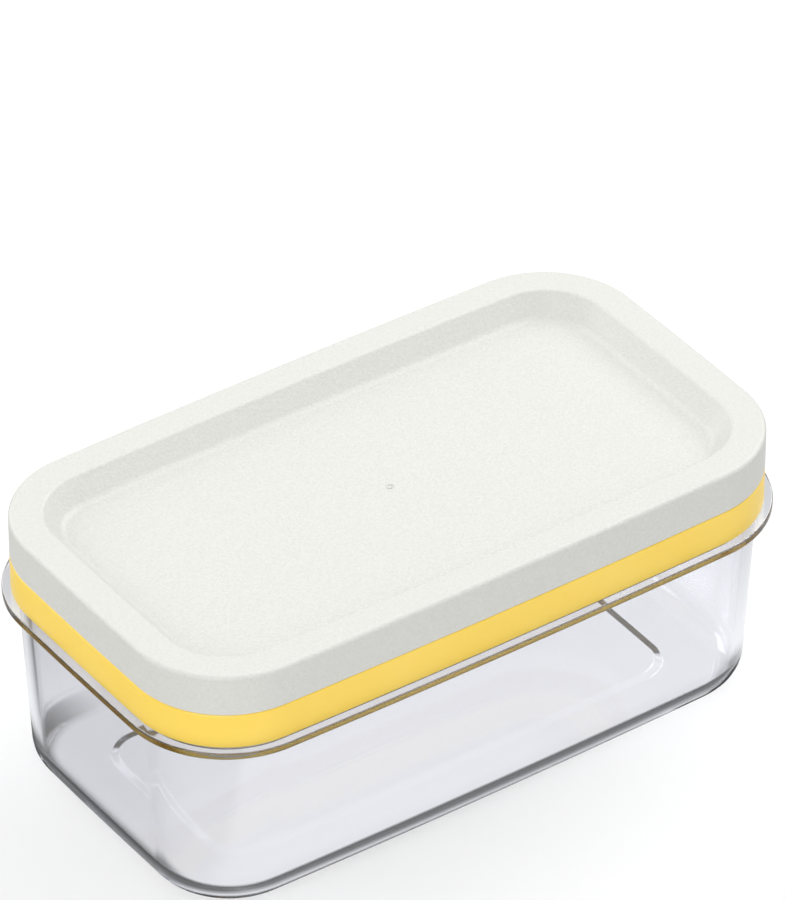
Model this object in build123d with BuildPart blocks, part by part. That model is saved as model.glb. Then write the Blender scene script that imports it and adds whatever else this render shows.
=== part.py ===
from build123d import *
from math import atan2, cos, degrees, sqrt, tan
import os

# Wire butter slicer: a clear butter box, a frame strung with cutting wires that
# fits over the box's collar, and a lid that fits over the frame.  All lengths are
# in millimetres.  The origin is at the middle of the box's base, X runs along the
# box, Y across it and Z up.  The pieces stand closed: the frame on the box's
# flange, the lid on the frame's shoulder.

# ---- Plan of the box, at the flange's edge -----------------------------------
case_length = 170.0
case_width = 96.8
corner_radius = 25.5
long_side_bow = 1.3          # how far the long sides swell at their middle
short_side_bow = 0.65

# ---- Clear box ---------------------------------------------------------------
flange_top = 49.2
flange_thickness = 1.8
flange_reach = 3.6           # from the collar out to the flange's edge
flange_edge_round = 0.6
collar_height = 6.9
collar_wall = 1.8
collar_edge_round = 0.4
body_wall = 2.7
body_draft = 2.4             # how far each side leans in from flange to base
base_round = 6.6
inner_base_round = 4.6
floor_thickness = 2.4
ledge_drop = 3.4             # from the flange's top down to the ledge inside
foot_width = 10.0            # flat foot round the hollow under the floor
hollow_depth = 0.7
hollow_slope = 0.9           # how far the hollow's sides lean in
hollow_corner = 9.0

# ---- Cutter frame ------------------------------------------------------------
fit_gap = 0.3                # play between the collar and the skirts over it
frame_skirt_wall = 1.3
shoulder_height = 9.0
shoulder_round = 0.6
collar_headroom = 0.3
web_thickness = 1.0
deck_thickness = 2.2
frame_band = 9.4             # from the frame's outer face in to its opening
inner_wall = 1.6
inner_wall_clearance = 4.2   # from the skirt's foot up to the inner wall's foot
inner_wall_round = 0.5

# ---- Clamp ring --------------------------------------------------------------
lip_width = 2.55             # shoulder, from the frame's edge in to the ring's seat
seat_gap = 0.2
ridge_rise = 3.0             # ridge above the shoulder
ridge_step = 0.25            # outer band below the ridge
ridge_setback = 5.2          # from the frame's outer face in to the ridge
ridge_land = 0.3
funnel_drop = 0.9            # from the ridge down to the lip of the opening
ring_wall = 1.5
clamp_wall = 1.8             # the wall that the wires pass under
channel_depth = 2.2
ring_edge_round = 1.6
peg_diameter = 1.6
peg_gap = 0.1
peg_depth = 1.0

# ---- Wires and the stops crimped on their ends -------------------------------
wire_count = 19
wire_pitch = 6.0
wire_diameter = 0.3
notch_side_gap = 0.05
notch_overrun = 0.4
stop_diameter = 1.2
stop_length = 1.8
stop_bore_gap = 0.02
stop_gap = 0.05
wire_tail = 0.4
trough_clearance = 0.3

# ---- Lid ---------------------------------------------------------------------
lid_height = 10.5
lid_skirt_wall = 1.3
lid_top_wall = 1.9
lid_edge_round = 1.0
rim_width = 7.7              # flat rim round the tray
tray_depth = 5.5
tray_slope = 4.4             # how far the tray's sides lean in
tray_base_round = 4.0
tray_edge_round = 1.2
pan_wall = 1.9
gate_mark_diameter = 1.6
gate_mark_depth = 0.3

# ---- Heights that follow -----------------------------------------------------
flange_foot = flange_top - flange_thickness
collar_top = flange_top + collar_height
ledge_height = flange_top - ledge_drop

shoulder_top = flange_top + shoulder_height
web_foot = collar_top + collar_headroom
deck_top = web_foot + web_thickness
deck_foot = deck_top - deck_thickness
inner_wall_foot = flange_top + inner_wall_clearance
wire_height = deck_top + wire_diameter / 2
trough_foot = wire_height - stop_diameter / 2 - trough_clearance

ridge_top = shoulder_top + ridge_rise
band_top = ridge_top - ridge_step
channel_top = deck_top + channel_depth

lid_top = shoulder_top + lid_height
lid_cavity_top = lid_top - lid_top_wall
tray_floor = lid_top - tray_depth
pan_foot = tray_floor - pan_wall

# ---- Insets that follow, measured inwards from the flange's edge -------------
collar_inner = flange_reach + collar_wall
ledge_inset = flange_reach + body_wall
base_inset = flange_reach + body_draft
foot_inner = base_inset + base_round + foot_width

frame_edge = flange_reach - fit_gap - frame_skirt_wall
skirt_inner = frame_edge + frame_skirt_wall
collar_room = collar_inner + 2 * fit_gap
opening = frame_edge + frame_band
inner_wall_outer = opening - inner_wall
seat_edge = frame_edge + lip_width

ring_edge = seat_edge + seat_gap
ridge_inset = frame_edge + ridge_setback
ring_channel = ring_edge + ring_wall
clamp_face = opening - clamp_wall
peg_inset = (ring_channel + clamp_face) / 2

lid_edge = frame_edge
lid_skirt_inner = lid_edge + lid_skirt_wall
tray_edge = lid_edge + rim_width
tray_lean = atan2(tray_slope, tray_depth)
pan_edge = tray_edge + lid_top_wall * tan(tray_lean) - pan_wall / cos(tray_lean)

half_length = case_length / 2
half_width = case_width / 2
level_tolerance = 0.01       # how near a face lies to the height it is looked for at
draft_angle = degrees(atan2(body_draft, flange_foot))
hollow_lean = degrees(atan2(hollow_slope, hollow_depth))

os.makedirs("parts", exist_ok=True)


def bow_radius(half_chord, bow):
    """The radius of a side that swells by `bow` at the middle of its chord."""
    return (half_chord**2 + bow**2) / (2 * bow)


long_side_radius = bow_radius(half_length - short_side_bow, long_side_bow)
short_side_radius = bow_radius(half_width - long_side_bow, short_side_bow)


class Plan(BaseSketchObject):
    """The box's plan drawn `inset` inside the flange's edge: bowed sides, round corners.

    Each side is an arc of a wide circle, and the plan is what the four circles share.
    """

    def __init__(self, inset, mode=Mode.ADD):
        with BuildSketch() as plan:
            with Locations((0, half_width - long_side_radius)):
                Circle(long_side_radius - inset)
            with Locations((0, long_side_radius - half_width)):
                Circle(long_side_radius - inset, mode=Mode.INTERSECT)
            with Locations((short_side_radius - half_length, 0)):
                Circle(short_side_radius - inset, mode=Mode.INTERSECT)
            with Locations(Location((half_length - short_side_radius, 0), 180)):
                Circle(short_side_radius - inset, mode=Mode.INTERSECT)
            fillet(plan.vertices(), radius=corner_radius - inset)
        super().__init__(obj=plan.sketch, rotation=0, align=None, mode=mode)


def long_side_y(inset, x):
    """Where the plan's long side lies, at x, when drawn `inset` in."""
    return half_width - long_side_radius + sqrt((long_side_radius - inset) ** 2 - x**2)


def level_faces(builder, height):
    """The flat faces of a part that lie at a height."""
    flat = builder.faces().filter_by(Axis.Z)
    return flat.filter_by(lambda face: abs(face.center().Z - height) < level_tolerance)


def rim_edges(builder, height):
    """The edges of the opening in a part's top face, which lies at a height."""
    return level_faces(builder, height).sort_by(SortBy.AREA)[-1].inner_wires()[0].edges()


def walls_from(builder, height):
    """The upright walls of a part that rise from a height."""
    walls = builder.faces().filter_by(GeomType.CYLINDER)
    return walls.filter_by(lambda face: abs(face.bounding_box().min.Z - height) < level_tolerance)


# ---- Clear box: drafted body, ledge inside, flange and collar ----------------
with BuildPart() as container:
    with BuildSketch(Plane.XY):
        Plan(flange_reach)
    extrude(amount=flange_foot)
    draft(walls_from(container, 0), Plane.XY.offset(flange_foot), -draft_angle)
    with BuildSketch(Plane.XY.offset(flange_foot)):
        Plan(0)
    extrude(amount=flange_thickness)
    fillet(walls_from(container, flange_foot).edges().filter_by(GeomType.CIRCLE), radius=flange_edge_round)
    with BuildSketch(Plane.XY.offset(flange_top)):
        Plan(flange_reach)
    extrude(amount=collar_height)
    # The inside: drafted walls with a round foot, then the wider collar above a ledge.
    with BuildSketch(Plane.XY.offset(floor_thickness)):
        Plan(ledge_inset)
    extrude(amount=collar_top - floor_thickness, mode=Mode.SUBTRACT)
    draft(walls_from(container, floor_thickness), Plane.XY.offset(ledge_height), draft_angle)
    with BuildSketch(Plane.XY.offset(ledge_height)):
        Plan(collar_inner)
    extrude(amount=collar_top - ledge_height, mode=Mode.SUBTRACT)
    fillet(level_faces(container, 0).edges(), radius=base_round)
    fillet(level_faces(container, floor_thickness).edges(), radius=inner_base_round)
    fillet(level_faces(container, collar_top).edges(), radius=collar_edge_round)
    # The shallow hollow that leaves the box standing on a foot.
    with BuildSketch(Plane.XY):
        RectangleRounded(2 * (half_length - foot_inner), 2 * (half_width - foot_inner), hollow_corner)
    extrude(amount=hollow_depth, taper=hollow_lean, mode=Mode.SUBTRACT)
container.part.label = "container"
export_step(container.part, "parts/container.step")

# ---- Places shared by the wires, their notches and the pegs ------------------
wire_positions = [(index - (wire_count - 1) / 2) * wire_pitch for index in range(wire_count)]
arc_centre_x = half_length - short_side_bow - corner_radius
arc_centre_y = half_width - long_side_bow - corner_radius
peg_reach = (corner_radius - peg_inset) / sqrt(2)
peg_points = [(side * (half_length - peg_inset), 0) for side in (-1, 1)]
peg_points += [
    (side_x * (arc_centre_x + peg_reach), side_y * (arc_centre_y + peg_reach))
    for side_x in (-1, 1)
    for side_y in (-1, 1)
]

# ---- Cutter frame: skirt over the collar, deck for the wires, inner wall -----
with BuildPart() as cutter_frame:
    with BuildSketch(Plane.XY.offset(flange_top)):
        Plan(frame_edge)
    extrude(amount=shoulder_height)
    fillet(level_faces(cutter_frame, shoulder_top).edges(), radius=shoulder_round)
    # The opening, and the seat that the clamp ring lies in.
    with BuildSketch(Plane.XY.offset(flange_top)):
        Plan(opening)
    extrude(amount=shoulder_height, mode=Mode.SUBTRACT)
    with BuildSketch(Plane.XY.offset(deck_top)):
        Plan(seat_edge)
    extrude(amount=shoulder_top - deck_top, mode=Mode.SUBTRACT)
    # The underside, hollowed in steps: the inner wall's foot, the deck, the collar's room.
    with BuildSketch(Plane.XY.offset(flange_top)):
        Plan(skirt_inner)
    extrude(amount=inner_wall_foot - flange_top, mode=Mode.SUBTRACT)
    with BuildSketch(Plane.XY.offset(inner_wall_foot)):
        Plan(skirt_inner)
        Plan(inner_wall_outer, mode=Mode.SUBTRACT)
    extrude(amount=deck_foot - inner_wall_foot, mode=Mode.SUBTRACT)
    with BuildSketch(Plane.XY.offset(deck_foot)):
        Plan(skirt_inner)
        Plan(collar_room, mode=Mode.SUBTRACT)
    extrude(amount=web_foot - deck_foot, mode=Mode.SUBTRACT)
    fillet(level_faces(cutter_frame, inner_wall_foot).edges(), radius=inner_wall_round)
    # The trough that the wires' stops lie in, and the holes for the ring's pegs.
    with BuildSketch(Plane.XY.offset(trough_foot)):
        Plan(ring_channel)
        Plan(clamp_face, mode=Mode.SUBTRACT)
    extrude(amount=deck_top - trough_foot, mode=Mode.SUBTRACT)
    with BuildSketch(Plane.XY.offset(trough_foot - peg_depth)):
        with Locations(*peg_points):
            Circle(peg_diameter / 2 + peg_gap)
    extrude(amount=peg_depth, mode=Mode.SUBTRACT)
cutter_frame.part.label = "cutter_frame"
export_step(cutter_frame.part, "parts/cutter_frame.step")

# ---- Clamp ring: raised ridge outside, shallow funnel in to the wires --------
with BuildPart() as clamp_ring:
    with BuildSketch(Plane.XY.offset(deck_top)):
        Plan(ring_edge)
    extrude(amount=band_top - deck_top)
    fillet(level_faces(clamp_ring, band_top).edges(), radius=ring_edge_round)
    with BuildSketch(Plane.XY.offset(band_top)):
        Plan(ridge_inset)
    extrude(amount=ridge_step)
    # The opening, and the funnel from the ridge's narrow land down to the lip.
    with BuildSketch(Plane.XY.offset(deck_top)):
        Plan(opening)
    extrude(amount=ridge_top - deck_top, mode=Mode.SUBTRACT)
    ridge = level_faces(clamp_ring, ridge_top)[0]
    funnel_run = opening - ridge_inset - ridge_land
    chamfer(rim_edges(clamp_ring, ridge_top), length=funnel_run, length2=funnel_drop, reference=ridge)
    # The channel under the ring, which leaves the wall that bears on the stops.
    with BuildSketch(Plane.XY.offset(deck_top)):
        Plan(ring_channel)
        Plan(clamp_face, mode=Mode.SUBTRACT)
    extrude(amount=channel_depth, mode=Mode.SUBTRACT)
    # One notch for each wire at each side.
    notch_start = long_side_y(opening, wire_positions[-1]) - notch_overrun
    notch_end = long_side_y(clamp_face, 0) + notch_overrun
    with BuildSketch(Plane.XY.offset(deck_top)):
        with GridLocations(wire_pitch, notch_start + notch_end, wire_count, 2):
            Rectangle(wire_diameter + 2 * notch_side_gap, notch_end - notch_start)
    extrude(amount=wire_diameter + notch_side_gap, mode=Mode.SUBTRACT)
    # The pegs that hold the ring in the frame's deck.
    with BuildSketch(Plane.XY.offset(trough_foot - peg_depth)):
        with Locations(*peg_points):
            Circle(peg_diameter / 2)
    extrude(amount=channel_top - trough_foot + peg_depth)
clamp_ring.part.label = "clamp_ring"
export_step(clamp_ring.part, "parts/clamp_ring.step")

# ---- Cutting wires, one node each --------------------------------------------
stop_reach = stop_gap + stop_length
for index, wire_x in enumerate(wire_positions, start=1):
    wire_end = long_side_y(clamp_face, wire_x) + stop_reach + wire_tail
    with BuildPart() as wire:
        with BuildSketch(Plane((wire_x, -wire_end, wire_height), x_dir=(1, 0, 0), z_dir=(0, 1, 0))):
            Circle(wire_diameter / 2)
        extrude(amount=2 * wire_end)
    wire.part.label = f"wire_{index:02d}"
    export_step(wire.part, f"parts/wire_{index:02d}.step")

# ---- Stops crimped on the wires' ends, behind the clamp ring's inner wall ----
for side, end in ((-1, "front"), (1, "back")):
    with BuildPart() as stops:
        for wire_x in wire_positions:
            stop_y = side * (long_side_y(clamp_face, wire_x) + stop_gap)
            with BuildSketch(Plane((wire_x, stop_y, wire_height), x_dir=(1, 0, 0), z_dir=(0, side, 0))):
                Circle(stop_diameter / 2)
                Circle(wire_diameter / 2 + stop_bore_gap, mode=Mode.SUBTRACT)
        extrude(amount=stop_length)
    stops.part.label = f"wire_stops_{end}"
    export_step(stops.part, f"parts/wire_stops_{end}.step")

# ---- Lid: skirt, flat rim and a shallow tray that hangs over the wires -------
with BuildPart() as lid:
    with BuildSketch(Plane.XY.offset(shoulder_top)):
        Plan(lid_edge)
    extrude(amount=lid_height)
    fillet(level_faces(lid, lid_top).edges(), radius=lid_edge_round)
    with BuildSketch(Plane.XY.offset(tray_floor)):
        Plan(tray_edge)
    extrude(amount=tray_depth, mode=Mode.SUBTRACT)
    draft(walls_from(lid, tray_floor), Plane.XY.offset(lid_top), degrees(tray_lean))
    fillet(level_faces(lid, tray_floor).edges(), radius=tray_base_round)
    fillet(rim_edges(lid, lid_top), radius=tray_edge_round)
    # The underside: hollow below the pan, and a deep groove round it for the clamp ring.
    with BuildSketch(Plane.XY.offset(shoulder_top)):
        Plan(lid_skirt_inner)
    extrude(amount=pan_foot - shoulder_top, mode=Mode.SUBTRACT)
    with BuildSketch(Plane.XY.offset(pan_foot)):
        Plan(lid_skirt_inner)
        Plan(pan_edge, mode=Mode.SUBTRACT)
    extrude(amount=lid_cavity_top - pan_foot, mode=Mode.SUBTRACT)
    draft(walls_from(lid, pan_foot), Plane.XY.offset(lid_cavity_top), -degrees(tray_lean))
    with BuildSketch(Plane.XY.offset(tray_floor - gate_mark_depth)):
        Circle(gate_mark_diameter / 2)
    extrude(amount=gate_mark_depth, mode=Mode.SUBTRACT)
lid.part.label = "lid"
export_step(lid.part, "parts/lid.step")
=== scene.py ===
import math

import bmesh
import bpy
from mathutils import Matrix, Vector


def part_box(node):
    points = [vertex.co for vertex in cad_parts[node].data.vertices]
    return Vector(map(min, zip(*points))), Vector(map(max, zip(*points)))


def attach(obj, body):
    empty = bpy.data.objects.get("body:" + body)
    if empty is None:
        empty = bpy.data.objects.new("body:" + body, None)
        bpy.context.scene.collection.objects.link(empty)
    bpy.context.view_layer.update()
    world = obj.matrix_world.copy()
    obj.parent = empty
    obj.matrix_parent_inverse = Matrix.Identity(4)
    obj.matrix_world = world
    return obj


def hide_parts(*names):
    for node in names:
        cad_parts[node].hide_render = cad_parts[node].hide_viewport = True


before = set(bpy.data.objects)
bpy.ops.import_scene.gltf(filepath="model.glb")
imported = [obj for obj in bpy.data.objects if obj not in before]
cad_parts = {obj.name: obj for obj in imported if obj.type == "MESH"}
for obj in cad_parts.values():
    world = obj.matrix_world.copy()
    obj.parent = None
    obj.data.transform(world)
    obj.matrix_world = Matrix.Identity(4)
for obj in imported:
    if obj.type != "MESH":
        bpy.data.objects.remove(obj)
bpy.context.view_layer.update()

MM = 0.001

# ---- Heights and half sizes (mm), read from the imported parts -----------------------
box_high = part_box("container")[1]
frame_low, frame_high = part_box("cutter_frame")

HALF_LENGTH = box_high.x / MM
HALF_WIDTH = box_high.y / MM
COLLAR_TOP = box_high.z / MM
FLANGE_TOP = frame_low.z / MM
SHOULDER_TOP = frame_high.z / MM
RIDGE_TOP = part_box("clamp_ring")[1].z / MM
LID_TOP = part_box("lid")[1].z / MM

# Insets below are measured in from the flange's edge.
SKIRT_FACE = (box_high.x - frame_high.x) / MM
SKIRT_WALL = 1.3

# ---- Plan that the box, the frame, the ring and the lid share (mm) -----------------
CORNER_RADIUS = 25.5
LONG_SIDE_BOW = 1.3
SHORT_SIDE_BOW = 0.65
CORNER_STEPS = 20
SIDE_STEPS = 24
CENTRE_PASSES = 8           # passes that bring a corner's centre to touch both sides

# ---- Clear box (mm) ----------------------------------------------------------------
FLANGE_FOOT = FLANGE_TOP - 1.8
FLANGE_ROUND = 0.35
UNDER_FLANGE_ROUND = 0.5
COLLAR_FACE = 3.6
COLLAR_INSIDE = 5.4
COLLAR_ROUND = 0.4
LEDGE = FLANGE_TOP - 3.4
NOOK_ROUND = 0.3            # at the collar's foot, under it and on the ledge
WALL_INSIDE = 6.3
WALL_LEAN = 2.4             # how far the wall leans in on its way down to the foot
BASE_ROUND = 6.6
FLOOR_TOP = 2.4
FLOOR_ROUND = 4.6
FLOOR_MARGIN = 12           # from the wall's inside to the floor's last loop
FOOT_INSIDE = 22.6
HOLLOW_DEPTH = 0.7
HOLLOW_SLOPE = 2.0          # width of the step round the hollow, and the radius of its rounds
HOLLOW_CORNER = 9.0

# ---- Cutter frame and clamp ring (mm) ----------------------------------------------
WEB_FOOT = COLLAR_TOP + 0.3
DECK = WEB_FOOT + 1.0
DECK_FOOT = DECK - 2.2
DECK_OUTSIDE = 6.0
OPENING = SKIRT_FACE + 9.4
OPENING_ROUND = 0.5
INNER_WALL = 1.6
INNER_WALL_FOOT = FLANGE_TOP + 4.2
SHOULDER_ROUND = 0.7
SKIRT_FOOT_ROUND = 0.35
SKIRT_INSIDE_ROUND = 0.25
SEAT = SKIRT_FACE + 2.55
SEAT_ROUND = 0.25
TROUGH_OUTSIDE = 6.25
TROUGH_INSIDE = OPENING - 1.8
TROUGH_FLOOR = DECK - 0.7
RING_FACE = SEAT + 0.2
RING_FOOT = DECK + 0.02
RING_TIP_FOOT = DECK + 0.06
RING_ROOF = DECK + 2.2      # top of the room for the wires' stops under the ring
BAND_TOP = RIDGE_TOP - 0.25
BAND_ROUND = 1.6
RIDGE_FACE = SKIRT_FACE + 5.2
RIDGE_FOOT_ROUND = 0.1
RIDGE_ROUND = 0.12
FUNNEL_FOOT = RIDGE_TOP - 0.9

# ---- Lid (mm) ----------------------------------------------------------------------
LID_CAVITY = LID_TOP - 1.9
LID_ROUND = 1.0
CAVITY_ROUND = 0.8
TRAY_EDGE = SKIRT_FACE + 7.7
TRAY_EDGE_ROUND = 1.2
TRAY_FLOOR = LID_TOP - 5.5
TRAY_SLOPE = 4.4            # how far the tray's side leans in on its way down
TRAY_FOOT_ROUND = 2.8
TRAY_MARGIN = 9             # from the tray's edge to the flat floor's last loop
PAN_EDGE = 8.79             # where the tray's underside leaves the rim's
PAN_EDGE_ROUND = 0.6
PAN_FOOT = TRAY_FLOOR - 1.9
PAN_FOOT_ROUND = 4.0
PAN_LEAN = 0.8              # inset gained for each millimetre of depth
PAN_MARGIN = 8
GATE_MARK = ((2.0, 0.0), (1.05, 0.0), (0.85, -0.3), (0.5, -0.3), (0.38, 0.05))   # radius, rise

# ---- Mesh finish -------------------------------------------------------------------
ROUND_STEPS = 6
LID_ROUND_STEPS = 8
SHARP_ANGLE = math.radians(32)
WELD = 1e-7


def bow_radius(half_chord, bow):
    """The radius of a side that swells by bow at the middle of its chord."""
    return (half_chord**2 + bow**2) / (2 * bow)


LONG_SIDE_RADIUS = bow_radius(HALF_LENGTH - SHORT_SIDE_BOW, LONG_SIDE_BOW)
SHORT_SIDE_RADIUS = bow_radius(HALF_WIDTH - LONG_SIDE_BOW, SHORT_SIDE_BOW)


def plan_loop(inset, corner_radius=None):
    """Points of the plan drawn inset in, all round: bowed sides joined by round corners."""
    if corner_radius is None:
        corner_radius = CORNER_RADIUS - inset
    sides = (
        (Vector((HALF_LENGTH - SHORT_SIDE_RADIUS, 0)), SHORT_SIDE_RADIUS - inset),
        (Vector((0, HALF_WIDTH - LONG_SIDE_RADIUS)), LONG_SIDE_RADIUS - inset),
    )
    centre = Vector((HALF_LENGTH - inset - corner_radius, HALF_WIDTH - inset - corner_radius))
    for _ in range(CENTRE_PASSES):
        for side_centre, side_radius in sides:
            centre = side_centre + (centre - side_centre).normalized() * (side_radius - corner_radius)
    turn_in, turn_out = (math.atan2(*reversed((centre - side_centre))) for side_centre, _ in sides)
    quarter = []
    for steps, start, end, middle, radius in (
        (SIDE_STEPS, 0, turn_in, *sides[0]),
        (CORNER_STEPS, turn_in, turn_out, centre, corner_radius),
        (SIDE_STEPS, turn_out, math.pi / 2, *sides[1]),
    ):
        for step in range(steps):
            angle = start + (end - start) * step / steps
            quarter.append(middle + radius * Vector((math.cos(angle), math.sin(angle))))
    half = quarter + [Vector((0, HALF_WIDTH - inset))] + [Vector((-p.x, p.y)) for p in reversed(quarter)]
    return half + [Vector((p.x, -p.y)) for p in reversed(half[1:-1])]


def disc_loop(radius):
    """Points of a small circle at the middle, one for each point of the plan."""
    return [point.normalized() * radius for point in plan_loop(0)]


def rounded(corners, steps=ROUND_STEPS):
    """A profile's stations: corners of (inset, height), or (inset, height, radius) where one is round."""
    stations = []
    for index, corner in enumerate(corners):
        if len(corner) == 2:
            stations.append(corner)
            continue
        tip, radius = Vector(corner[:2]), corner[2]
        back = (Vector(corners[index - 1][:2]) - tip).normalized()
        ahead = (Vector(corners[(index + 1) % len(corners)][:2]) - tip).normalized()
        half_angle = back.angle(ahead) / 2
        centre = tip + (back + ahead).normalized() * radius / math.sin(half_angle)
        first = tip + back * radius / math.tan(half_angle) - centre
        turn = math.pi - 2 * half_angle
        if back.x * ahead.y - back.y * ahead.x > 0:
            turn = -turn
        for step in range(steps + 1):
            spun = Matrix.Rotation(turn * step / steps, 2) @ first
            stations.append(tuple(centre + spun))
    return stations


def place_loop(verts, points, height):
    """Moves a loop of vertices to the points of a plan at a height, from millimetres to metres."""
    for vert, point in zip(verts, points):
        vert.co = (point.x * MM, point.y * MM, height * MM)


def moulding(name, loops, body, material, replaced, ring=False):
    """A moulded piece skinned through loops of (points, height): a ring, or a shell closed at both ends."""
    bm = bmesh.new()
    verts = bmesh.ops.create_circle(bm, segments=len(loops[0][0]), radius=1)["verts"]
    edges = list(bm.edges)
    place_loop(verts, *loops[0])
    if not ring:
        bmesh.ops.holes_fill(bm, edges=edges)
    for points, height in loops[1:] + (loops[:1] if ring else []):
        grown = bmesh.ops.extrude_edge_only(bm, edges=edges)["geom"]
        fresh = {part for part in grown if isinstance(part, bmesh.types.BMVert)}
        verts = [
            next(edge.other_vert(vert) for edge in vert.link_edges if edge.other_vert(vert) in fresh)
            for vert in verts
        ]
        edges = [part for part in grown if isinstance(part, bmesh.types.BMEdge) and set(part.verts) <= fresh]
        place_loop(verts, points, height)
    if ring:
        bmesh.ops.remove_doubles(bm, verts=bm.verts, dist=WELD)
    else:
        bmesh.ops.holes_fill(bm, edges=edges)
    bmesh.ops.recalc_face_normals(bm, faces=bm.faces)
    mesh = bpy.data.meshes.new(name)
    bm.to_mesh(mesh)
    bm.free()
    mesh.shade_smooth()
    mesh.set_sharp_from_angle(angle=SHARP_ANGLE)
    mesh.materials.append(material)
    piece = bpy.data.objects.new(name, mesh)
    bpy.context.scene.collection.objects.link(piece)
    weighted = piece.modifiers.new("even_shading", "WEIGHTED_NORMAL")
    weighted.keep_sharp = True
    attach(piece, body)
    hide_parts(*replaced)


# ---- Shader steps ------------------------------------------------------------------
NOISE_LOW, NOISE_HIGH = 0.35, 0.65      # the part of a noise's range that the finishes use


def new_material(name):
    """A material with an empty node tree, its output and a Principled shader."""
    material = bpy.data.materials.new(name)
    material.use_nodes = True
    nodes = material.node_tree.nodes
    nodes.clear()
    output = nodes.new("ShaderNodeOutputMaterial")
    shader = nodes.new("ShaderNodeBsdfPrincipled")
    material.node_tree.links.new(shader.outputs["BSDF"], output.inputs["Surface"])
    return material, nodes, material.node_tree.links, shader, output


def object_noise(nodes, links, scale, detail=2.0):
    """A noise value on Object coordinates, with scale in features per metre."""
    place = nodes.new("ShaderNodeTexCoord")
    noise = nodes.new("ShaderNodeTexNoise")
    noise.inputs["Scale"].default_value = scale
    noise.inputs["Detail"].default_value = detail
    links.new(place.outputs["Object"], noise.inputs["Vector"])
    return noise.outputs["Fac"]


def mapped_range(nodes, links, source, start, end, first, last, smooth=False):
    """A value that turns from first to last as the source goes from start to end."""
    mapped = nodes.new("ShaderNodeMapRange")
    if smooth:
        mapped.interpolation_type = "SMOOTHSTEP"
    mapped.inputs["From Min"].default_value = start
    mapped.inputs["From Max"].default_value = end
    mapped.inputs["To Min"].default_value = first
    mapped.inputs["To Max"].default_value = last
    links.new(source, mapped.inputs["Value"])
    return mapped.outputs["Result"]


def spread(nodes, links, noise, low, high):
    """Spreads a noise value over the range low to high."""
    return mapped_range(nodes, links, noise, NOISE_LOW, NOISE_HIGH, low, high)


def two_tone(nodes, links, noise, dark, light):
    """A colour between two near tones, driven by a noise value."""
    ramp = nodes.new("ShaderNodeValToRGB")
    for stop, position, tone in zip(ramp.color_ramp.elements, (NOISE_LOW, NOISE_HIGH), (dark, light)):
        stop.position = position
        stop.color = (*tone, 1)
    links.new(noise, ramp.inputs["Fac"])
    return ramp.outputs["Color"]


def grain_bump(nodes, links, shader, noise, strength, depth):
    """A fine moulded grain on the shader's normal; depth is the grain's depth in metres."""
    bump = nodes.new("ShaderNodeBump")
    bump.inputs["Strength"].default_value = strength
    bump.inputs["Distance"].default_value = depth
    links.new(noise, bump.inputs["Height"])
    links.new(bump.outputs["Normal"], shader.inputs["Normal"])


def vector_step(nodes, links, operation, source, by=None):
    """One vector operation on a source, with a fixed second vector where the operation takes one."""
    step = nodes.new("ShaderNodeVectorMath")
    step.operation = operation
    links.new(source, step.inputs[0])
    if by is not None:
        step.inputs[1].default_value = by
    return step.outputs["Value" if operation in ("LENGTH", "DOT_PRODUCT") else "Vector"]


def number_step(nodes, links, operation, first, second):
    """One operation on two numbers, each a socket or a plain value."""
    step = nodes.new("ShaderNodeMath")
    step.operation = operation
    for socket, value in zip(step.inputs, (first, second)):
        if isinstance(value, (int, float)):
            socket.default_value = value
        else:
            links.new(value, socket)
    return step.outputs["Value"]


# ---- Finishes (noise scales in features per metre, depths in metres) ---------------
CLEAR_TINT = (0.962, 0.963, 0.982, 1)
CLEAR_IOR = 1.56
CLEAR_FLOW_SCALE = 60
CLEAR_ROUGHNESS = (0.0, 0.035)
CLEAR_LAMP_TINT = (0.985, 0.987, 0.99, 1)    # lamp light after one face
CLEAR_DEPTH_TINT = (0.46, 0.50, 0.60, 1)
CLEAR_DEPTH_DENSITY = 18

GRAIN_DETAIL = 3
YELLOW_TONES = ((0.95, 0.655, 0.098), (0.96, 0.675, 0.116))
YELLOW_CLOUD_SCALE = 45
YELLOW_GRAIN_SCALE = 2600
YELLOW_GRAIN_STRENGTH = 0.15
YELLOW_GRAIN_DEPTH = 0.00004
YELLOW_ROUGHNESS = (0.30, 0.40)
YELLOW_SCATTER = 0.08
YELLOW_SCATTER_RADIUS = (0.004, 0.002, 0.0005)
YELLOW_SCATTER_SCALE = 0.5

WHITE_TONES = ((0.612, 0.608, 0.569), (0.647, 0.644, 0.607))
WHITE_GRAIN_SCALE = 1500
WHITE_GRAIN_STRENGTH = 0.7
WHITE_GRAIN_DEPTH = 0.00018
WHITE_ROUGHNESS = (0.40, 0.55)

STEEL_TONES = ((0.78, 0.78, 0.78), (0.90, 0.90, 0.90))
STEEL_UNEVEN_SCALE = 1500
STEEL_ROUGHNESS = (0.40, 0.52)


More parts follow.
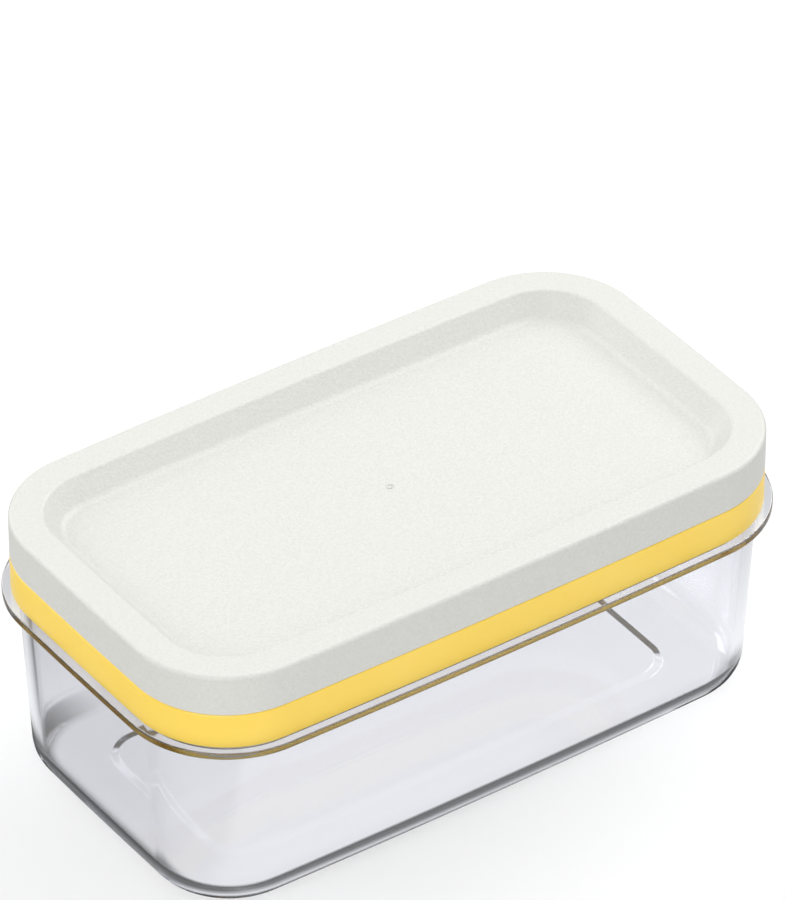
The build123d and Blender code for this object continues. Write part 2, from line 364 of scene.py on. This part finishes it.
def clear_plastic():
    """Clear styrene resin: near-white, faintly cool, with light passing to what is inside."""
    material, nodes, links, shader, output = new_material("clear_styrene")
    shader.inputs["Base Color"].default_value = CLEAR_TINT
    shader.inputs["Transmission Weight"].default_value = 1
    shader.inputs["IOR"].default_value = CLEAR_IOR
    flow = object_noise(nodes, links, CLEAR_FLOW_SCALE)
    links.new(spread(nodes, links, flow, *CLEAR_ROUGHNESS), shader.inputs["Roughness"])
    # Rays on their way to a lamp go straight through, so what stands inside is lit.
    lamps = nodes.new("ShaderNodeLightPath")
    passed = nodes.new("ShaderNodeBsdfTransparent")
    passed.inputs["Color"].default_value = CLEAR_LAMP_TINT
    mix = nodes.new("ShaderNodeMixShader")
    links.new(lamps.outputs["Is Shadow Ray"], mix.inputs[0])
    links.new(shader.outputs["BSDF"], mix.inputs[1])
    links.new(passed.outputs["BSDF"], mix.inputs[2])
    links.new(mix.outputs["Shader"], output.inputs["Surface"])
    depth = nodes.new("ShaderNodeVolumeAbsorption")
    depth.inputs["Color"].default_value = CLEAR_DEPTH_TINT
    depth.inputs["Density"].default_value = CLEAR_DEPTH_DENSITY
    links.new(depth.outputs["Volume"], output.inputs["Volume"])
    return material


def yellow_plastic():
    """Warm yellow moulded plastic with a soft gloss and a fine grain."""
    material, nodes, links, shader, _ = new_material("butter_yellow")
    cloud = object_noise(nodes, links, YELLOW_CLOUD_SCALE)
    links.new(two_tone(nodes, links, cloud, *YELLOW_TONES), shader.inputs["Base Color"])
    grain = object_noise(nodes, links, YELLOW_GRAIN_SCALE, GRAIN_DETAIL)
    links.new(spread(nodes, links, grain, *YELLOW_ROUGHNESS), shader.inputs["Roughness"])
    grain_bump(nodes, links, shader, grain, YELLOW_GRAIN_STRENGTH, YELLOW_GRAIN_DEPTH)
    shader.inputs["Subsurface Weight"].default_value = YELLOW_SCATTER
    shader.inputs["Subsurface Radius"].default_value = YELLOW_SCATTER_RADIUS
    shader.inputs["Subsurface Scale"].default_value = YELLOW_SCATTER_SCALE
    return material


def white_plastic():
    """Off-white matte plastic with a fine spark grain."""
    material, nodes, links, shader, _ = new_material("matte_white")
    grain = object_noise(nodes, links, WHITE_GRAIN_SCALE, GRAIN_DETAIL)
    links.new(two_tone(nodes, links, grain, *WHITE_TONES), shader.inputs["Base Color"])
    links.new(spread(nodes, links, grain, *WHITE_ROUGHNESS), shader.inputs["Roughness"])
    grain_bump(nodes, links, shader, grain, WHITE_GRAIN_STRENGTH, WHITE_GRAIN_DEPTH)
    return material


def drawn_steel():
    """Drawn stainless wire: bright, with a faint unevenness from the die."""
    material, nodes, links, shader, _ = new_material("drawn_steel")
    uneven = object_noise(nodes, links, STEEL_UNEVEN_SCALE)
    links.new(two_tone(nodes, links, uneven, *STEEL_TONES), shader.inputs["Base Color"])
    shader.inputs["Metallic"].default_value = 1
    links.new(spread(nodes, links, uneven, *STEEL_ROUGHNESS), shader.inputs["Roughness"])
    return material


CLEAR = clear_plastic()
YELLOW = yellow_plastic()
WHITE = white_plastic()
STEEL = drawn_steel()


# ---- Pieces ------------------------------------------------------------------------
def clear_box():
    """The butter box: foot and round base, drafted wall, flange, collar, ledge and floor."""
    lean = WALL_LEAN / FLANGE_FOOT
    hollow = [
        (FOOT_INSIDE + 2 * HOLLOW_SLOPE, HOLLOW_DEPTH),
        (FOOT_INSIDE + HOLLOW_SLOPE, HOLLOW_DEPTH, HOLLOW_SLOPE),
        (FOOT_INSIDE, 0, HOLLOW_SLOPE),
        (FOOT_INSIDE - HOLLOW_SLOPE, 0),
    ]
    wall = [
        (FOOT_INSIDE, 0),
        (COLLAR_FACE + WALL_LEAN, 0, BASE_ROUND),
        (COLLAR_FACE, FLANGE_FOOT, UNDER_FLANGE_ROUND),
        (0, FLANGE_FOOT, FLANGE_ROUND),
        (0, FLANGE_TOP, FLANGE_ROUND),
        (COLLAR_FACE, FLANGE_TOP, NOOK_ROUND),
        (COLLAR_FACE, COLLAR_TOP, COLLAR_ROUND),
        (COLLAR_INSIDE, COLLAR_TOP, COLLAR_ROUND),
        (COLLAR_INSIDE, LEDGE, NOOK_ROUND),
        (WALL_INSIDE, LEDGE, NOOK_ROUND),
        (WALL_INSIDE + lean * (LEDGE - FLOOR_TOP), FLOOR_TOP, FLOOR_ROUND),
        (WALL_INSIDE + FLOOR_MARGIN, FLOOR_TOP),
    ]
    loops = [
        (plan_loop(inset, HOLLOW_CORNER + FOOT_INSIDE - inset), height)
        for inset, height in rounded(hollow)
    ]
    loops += [(plan_loop(inset), height) for inset, height in rounded(wall)[1:]]
    moulding("clear_box", loops, "box", CLEAR, ["container"])


def yellow_frame():
    """The frame: skirt over the collar, shoulder, seat for the ring, deck with the stops' trough."""
    corners = [
        (SKIRT_FACE, FLANGE_TOP, SKIRT_FOOT_ROUND),
        (SKIRT_FACE, SHOULDER_TOP, SHOULDER_ROUND),
        (SEAT, SHOULDER_TOP, SEAT_ROUND),
        (SEAT, DECK),
        (TROUGH_OUTSIDE, DECK),
        (TROUGH_OUTSIDE, TROUGH_FLOOR),
        (TROUGH_INSIDE, TROUGH_FLOOR),
        (TROUGH_INSIDE, DECK),
        (OPENING, DECK),
        (OPENING, INNER_WALL_FOOT, OPENING_ROUND),
        (OPENING - INNER_WALL, INNER_WALL_FOOT, OPENING_ROUND),
        (OPENING - INNER_WALL, DECK_FOOT),
        (DECK_OUTSIDE, DECK_FOOT),
        (DECK_OUTSIDE, WEB_FOOT),
        (SKIRT_FACE + SKIRT_WALL, WEB_FOOT),
        (SKIRT_FACE + SKIRT_WALL, FLANGE_TOP, SKIRT_INSIDE_ROUND),
    ]
    loops = [(plan_loop(inset), height) for inset, height in rounded(corners)]
    moulding("yellow_frame", loops, "cutter", YELLOW, ["cutter_frame"], ring=True)


def yellow_ring():
    """The clamp ring: round outer band, raised step, shallow funnel down to the opening."""
    corners = [
        (RING_FACE, RING_FOOT),
        (RING_FACE, BAND_TOP, BAND_ROUND),
        (RIDGE_FACE, BAND_TOP, RIDGE_FOOT_ROUND),
        (RIDGE_FACE, RIDGE_TOP, RIDGE_ROUND),
        (OPENING, FUNNEL_FOOT, OPENING_ROUND),
        (OPENING, RING_TIP_FOOT),
        (TROUGH_INSIDE, RING_TIP_FOOT),
        (TROUGH_INSIDE, RING_ROOF),
        (TROUGH_OUTSIDE, RING_ROOF),
        (TROUGH_OUTSIDE, RING_FOOT),
    ]
    loops = [(plan_loop(inset), height) for inset, height in rounded(corners)]
    moulding("yellow_ring", loops, "cutter", YELLOW, ["clamp_ring"], ring=True)


def white_lid():
    """The lid: skirt, rounded edge, flat rim and the tray with its gate mark."""
    corners = [
        (PAN_EDGE + PAN_MARGIN, PAN_FOOT),
        (PAN_EDGE + PAN_LEAN * (LID_CAVITY - PAN_FOOT), PAN_FOOT, PAN_FOOT_ROUND),
        (PAN_EDGE, LID_CAVITY, PAN_EDGE_ROUND),
        (SKIRT_FACE + SKIRT_WALL, LID_CAVITY, CAVITY_ROUND),
        (SKIRT_FACE + SKIRT_WALL, SHOULDER_TOP, SKIRT_INSIDE_ROUND),
        (SKIRT_FACE, SHOULDER_TOP, SKIRT_FOOT_ROUND),
        (SKIRT_FACE, LID_TOP, LID_ROUND),
        (TRAY_EDGE, LID_TOP, TRAY_EDGE_ROUND),
        (TRAY_EDGE + TRAY_SLOPE, TRAY_FLOOR, TRAY_FOOT_ROUND),
        (TRAY_EDGE + TRAY_MARGIN, TRAY_FLOOR),
    ]
    loops = [(plan_loop(inset), height) for inset, height in rounded(corners, LID_ROUND_STEPS)]
    loops += [(disc_loop(radius), TRAY_FLOOR + rise) for radius, rise in GATE_MARK]
    moulding("white_lid", loops, "lid", WHITE, ["lid"])


clear_box()
yellow_frame()
yellow_ring()
white_lid()
for name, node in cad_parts.items():
    if name.startswith("wire_"):
        node.data.materials.clear()
        node.data.materials.append(STEEL)


# ---- Floor, light and camera (metres and watts) ------------------------------------
FLOOR_RADIUS = 4.0
FLOOR_GAP = 0.0003          # keeps the floor from sharing a plane with the foot
DISC_SEGMENTS = 96
FLOOR_FADE = (0.25, 1.1)    # from the box, where the floor turns from near to far
FLOOR_TONE = (0.47, 0.25)
# Painted glow of the floor near the box, which washes out shadows there and fades out far away.
FLOOR_GLOW = (0.42, 0.0)
FLOOR_ROUGHNESS = 0.9

# The card's painted glow tones (distance, level) and its painted contact-shadow edge strip go by the
# distance from the plan's core, which lies a corner radius inside the flange's edge.
CARD_RADIUS = FLOOR_RADIUS / 2
CARD_TINT = (0.98, 0.985, 1)
CARD_REACH = 0.4
CARD_TONES = ((0, 1), (0.03, 1), (0.055, 0.82), (0.085, 0.68), (0.14, 0.55), (0.4, 0.2))
STRIP_SHADE = 0.87          # how much darker the card is in the strip under the near edges, a painted contact shadow
STRIP_INNER = (0.0115, 0.0160)
STRIP_OUTER = (0.023, 0.027)
STRIP_COMES_IN = (0.55, 0.85)           # shares of the way to the front or left edge
LEFT_SHADE = 0.28           # level of the card past the left side, painted shade there
LEFT_COMES_IN = (0.90, 1.05)

SKY_TINT = (0.97, 0.985, 1, 1)
TOP_SKY, NEAR_SKY, FAR_SKY = 1.1, 0.6, 0.2
TOP_COMES_IN = (0.62, 0.88)
NEAR_WAY = (0.2, -0.98, 0)
NEAR_COMES_IN = (-0.35, 0.45)

LAMP_AIM = (0, 0, 0.05)
LAMPS = (
    # name, place, side, power
    ("key", (1.4, 0.25, 1.15), 1.1, 20),
    ("fill", (-1.35, -0.95, 0.9), 1.3, 16),
    ("back", (-0.5, 1.4, 0.8), 1.1, 15),
)
LIGHT_BOUNCES = 48          # light runs along the clear walls for a long way

CAMERA_AZIMUTH = math.radians(-35.15)
CAMERA_ELEVATION = math.radians(36.8)
CAMERA_DISTANCE = 1.8
CAMERA_SIDE = 0.000684
CAMERA_RISE = 0.058834
CAMERA_LENS = 314.6
CAMERA_SENSOR = 36


def stage_disc(name, radius, depth):
    """A level disc of a radius, set at a depth under the box's foot."""
    bm = bmesh.new()
    bmesh.ops.create_circle(bm, cap_ends=True, segments=DISC_SEGMENTS, radius=radius)
    bmesh.ops.translate(bm, verts=bm.verts, vec=(0, 0, -depth))
    mesh = bpy.data.meshes.new(name)
    bm.to_mesh(mesh)
    bm.free()
    disc = bpy.data.objects.new(name, mesh)
    bpy.context.scene.collection.objects.link(disc)
    return disc


def pale_floor():
    """A plain pale floor just under the foot, white round the box, where a painted glow washes out shadows,
    and greyer far away.
    """
    floor = stage_disc("floor", FLOOR_RADIUS, FLOOR_GAP)
    material, nodes, links, shader, _ = new_material("floor_paper")
    place = nodes.new("ShaderNodeTexCoord").outputs["Object"]
    distance = vector_step(nodes, links, "LENGTH", place)
    tone = mapped_range(nodes, links, distance, *FLOOR_FADE, *FLOOR_TONE, smooth=True)
    glow = mapped_range(nodes, links, distance, *FLOOR_FADE, *FLOOR_GLOW, smooth=True)
    links.new(tone, shader.inputs["Base Color"])
    shader.inputs["Emission Color"].default_value = (1, 1, 1, 1)
    links.new(glow, shader.inputs["Emission Strength"])
    shader.inputs["Roughness"].default_value = FLOOR_ROUGHNESS
    shader.inputs["Specular IOR Level"].default_value = 0
    floor.data.materials.append(material)


def painted_light_card():
    """A glowing card under the box, painted light and shade that only reflections and the clear plastic see.

    Its painted glow is dark under the near edges like a contact shadow, white round the box, and greyer far
    away and to the left.
    """
    card = stage_disc("painted_light_card", CARD_RADIUS, FLOOR_GAP / 2)
    card.visible_camera = False
    card.visible_diffuse = False
    card.visible_shadow = False
    material = bpy.data.materials.new("painted_light_card")
    material.use_nodes = True
    nodes, links = material.node_tree.nodes, material.node_tree.links
    nodes.clear()
    output = nodes.new("ShaderNodeOutputMaterial")
    glow = nodes.new("ShaderNodeEmission")
    place = nodes.new("ShaderNodeTexCoord").outputs["Object"]

    core = ((HALF_LENGTH - CORNER_RADIUS) * MM, (HALF_WIDTH - CORNER_RADIUS) * MM, 1)
    folded = vector_step(nodes, links, "ABSOLUTE", place)
    reach = vector_step(nodes, links, "SUBTRACT", folded, core)
    beyond = vector_step(nodes, links, "MAXIMUM", reach, (0, 0, 0))
    distance = vector_step(nodes, links, "LENGTH", beyond)
    # Painted glow: white round the box and greyer far away.
    tones = nodes.new("ShaderNodeValToRGB")
    links.new(mapped_range(nodes, links, distance, 0, CARD_REACH, 0, 1), tones.inputs["Fac"])
    stops = tones.color_ramp.elements
    while len(stops) < len(CARD_TONES):
        stops.new(1)
    for stop, (reach_to, level) in zip(stops, CARD_TONES):
        stop.position = reach_to / CARD_REACH
        stop.color = (*(part * level for part in CARD_TINT), 1)
    links.new(tones.outputs["Color"], glow.inputs["Color"])

    # Painted contact shadow in a strip under the front and left edges, and painted shade past the left side.
    toward_left = vector_step(nodes, links, "DOT_PRODUCT", place, (-1 / HALF_LENGTH / MM, 0, 0))
    toward_front = vector_step(nodes, links, "DOT_PRODUCT", place, (0, -1 / HALF_WIDTH / MM, 0))
    toward = number_step(nodes, links, "MAXIMUM", toward_left, toward_front)
    near = mapped_range(nodes, links, toward, *STRIP_COMES_IN, 0, STRIP_SHADE, smooth=True)
    inner = mapped_range(nodes, links, distance, *STRIP_INNER, 0, 1, smooth=True)
    outer = mapped_range(nodes, links, distance, *STRIP_OUTER, 1, 0, smooth=True)
    band = number_step(nodes, links, "MULTIPLY", inner, outer)
    strip = number_step(nodes, links, "MULTIPLY", band, near)
    lit = number_step(nodes, links, "SUBTRACT", 1, strip)
    left = mapped_range(nodes, links, toward_left, *LEFT_COMES_IN, 1, LEFT_SHADE, smooth=True)
    links.new(number_step(nodes, links, "MULTIPLY", lit, left), glow.inputs["Strength"])
    links.new(glow.outputs["Emission"], output.inputs["Surface"])
    card.data.materials.append(material)


def studio_sky():
    """White light from above, pale at the near side and dark low down at the far side."""
    world = bpy.data.worlds.new("studio")
    bpy.context.scene.world = world
    world.use_nodes = True
    nodes, links = world.node_tree.nodes, world.node_tree.links
    nodes.clear()
    output = nodes.new("ShaderNodeOutputWorld")
    background = nodes.new("ShaderNodeBackground")
    background.inputs["Color"].default_value = SKY_TINT
    way = nodes.new("ShaderNodeTexCoord").outputs["Generated"]
    height = vector_step(nodes, links, "DOT_PRODUCT", way, (0, 0, 1))
    near = vector_step(nodes, links, "DOT_PRODUCT", way, NEAR_WAY)
    above = mapped_range(nodes, links, height, *TOP_COMES_IN, 0, 1, smooth=True)
    round_about = mapped_range(nodes, links, near, *NEAR_COMES_IN, FAR_SKY, NEAR_SKY, smooth=True)
    level = nodes.new("ShaderNodeMix")
    links.new(above, level.inputs["Factor"])
    links.new(round_about, level.inputs["A"])
    level.inputs["B"].default_value = TOP_SKY
    links.new(level.outputs["Result"], background.inputs["Strength"])
    links.new(background.outputs["Background"], output.inputs["Surface"])


def soft_lamp(name, place, side, power):
    """A square soft lamp at a place, turned to shine at the box."""
    data = bpy.data.lights.new(name, "AREA")
    data.shape = "SQUARE"
    data.size = side
    data.energy = power
    lamp = bpy.data.objects.new(name, data)
    bpy.context.scene.collection.objects.link(lamp)
    lamp.location = place
    lamp.rotation_euler = (Vector(LAMP_AIM) - Vector(place)).to_track_quat("-Z", "Y").to_euler()


def shot_camera():
    """A long lens from the front left, looking down on the box."""
    right = Vector((math.cos(CAMERA_AZIMUTH), math.sin(CAMERA_AZIMUTH), 0))
    up = Vector((
        -math.sin(CAMERA_AZIMUTH) * math.sin(CAMERA_ELEVATION),
        math.cos(CAMERA_AZIMUTH) * math.sin(CAMERA_ELEVATION),
        math.cos(CAMERA_ELEVATION),
    ))
    back = right.cross(up)
    data = bpy.data.cameras.new("camera")
    data.sensor_fit = "VERTICAL"
    data.sensor_height = CAMERA_SENSOR
    data.lens = CAMERA_LENS
    camera = bpy.data.objects.new("camera", data)
    bpy.context.scene.collection.objects.link(camera)
    place = Matrix.Translation(right * CAMERA_SIDE + up * CAMERA_RISE + back * CAMERA_DISTANCE)
    camera.matrix_world = place @ Matrix((right, up, back)).transposed().to_4x4()
    bpy.context.scene.camera = camera


pale_floor()
painted_light_card()
studio_sky()
for lamp in LAMPS:
    soft_lamp(*lamp)
shot_camera()
bpy.context.scene.view_settings.view_transform = "Standard"
bpy.context.scene.cycles.max_bounces = LIGHT_BOUNCES
bpy.context.scene.cycles.transmission_bounces = LIGHT_BOUNCES
bpy.context.scene.cycles.glossy_bounces = LIGHT_BOUNCES // 2
